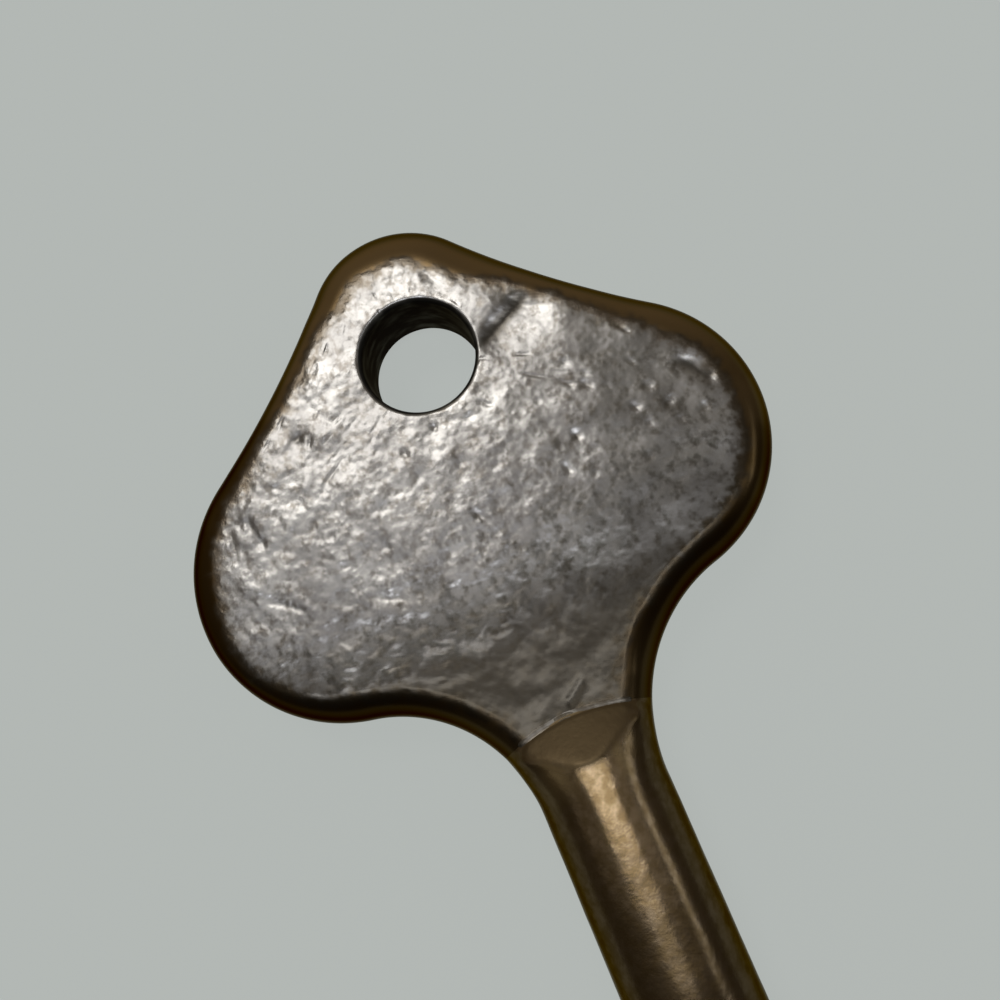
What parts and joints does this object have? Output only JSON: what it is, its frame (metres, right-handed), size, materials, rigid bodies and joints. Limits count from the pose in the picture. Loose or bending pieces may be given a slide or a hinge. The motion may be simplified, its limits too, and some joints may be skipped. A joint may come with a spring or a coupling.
{
  "type": "skeleton key",
  "caption": "Bronze skeleton key with a flat lobed bow, a ring hole, a round shank with a pilot pin, and a warded bit.",
  "frame": {"origin": "middle of the ring hole, half way through the flat bow", "axes": "+X along the shank from the bow to the tip, +Y towards the bit, +Z square to the flat bow"},
  "size_m": [0.083, 0.031, 0.0064],
  "materials": {
    "cast_bow": "worn cast skin over brown bronze",
    "turned_bronze": "smooth, rubbed, brown",
    "filed_bit": "filed and rubbed, brown",
    "brazing": "bright brazing metal"
  },
  "bodies": {
    "root": {"bow": "cast_bow", "shank": "turned_bronze", "bit": "filed_bit", "bow_braze": "brazing", "bit_braze": "brazing"}
  },
  "joints": []
}
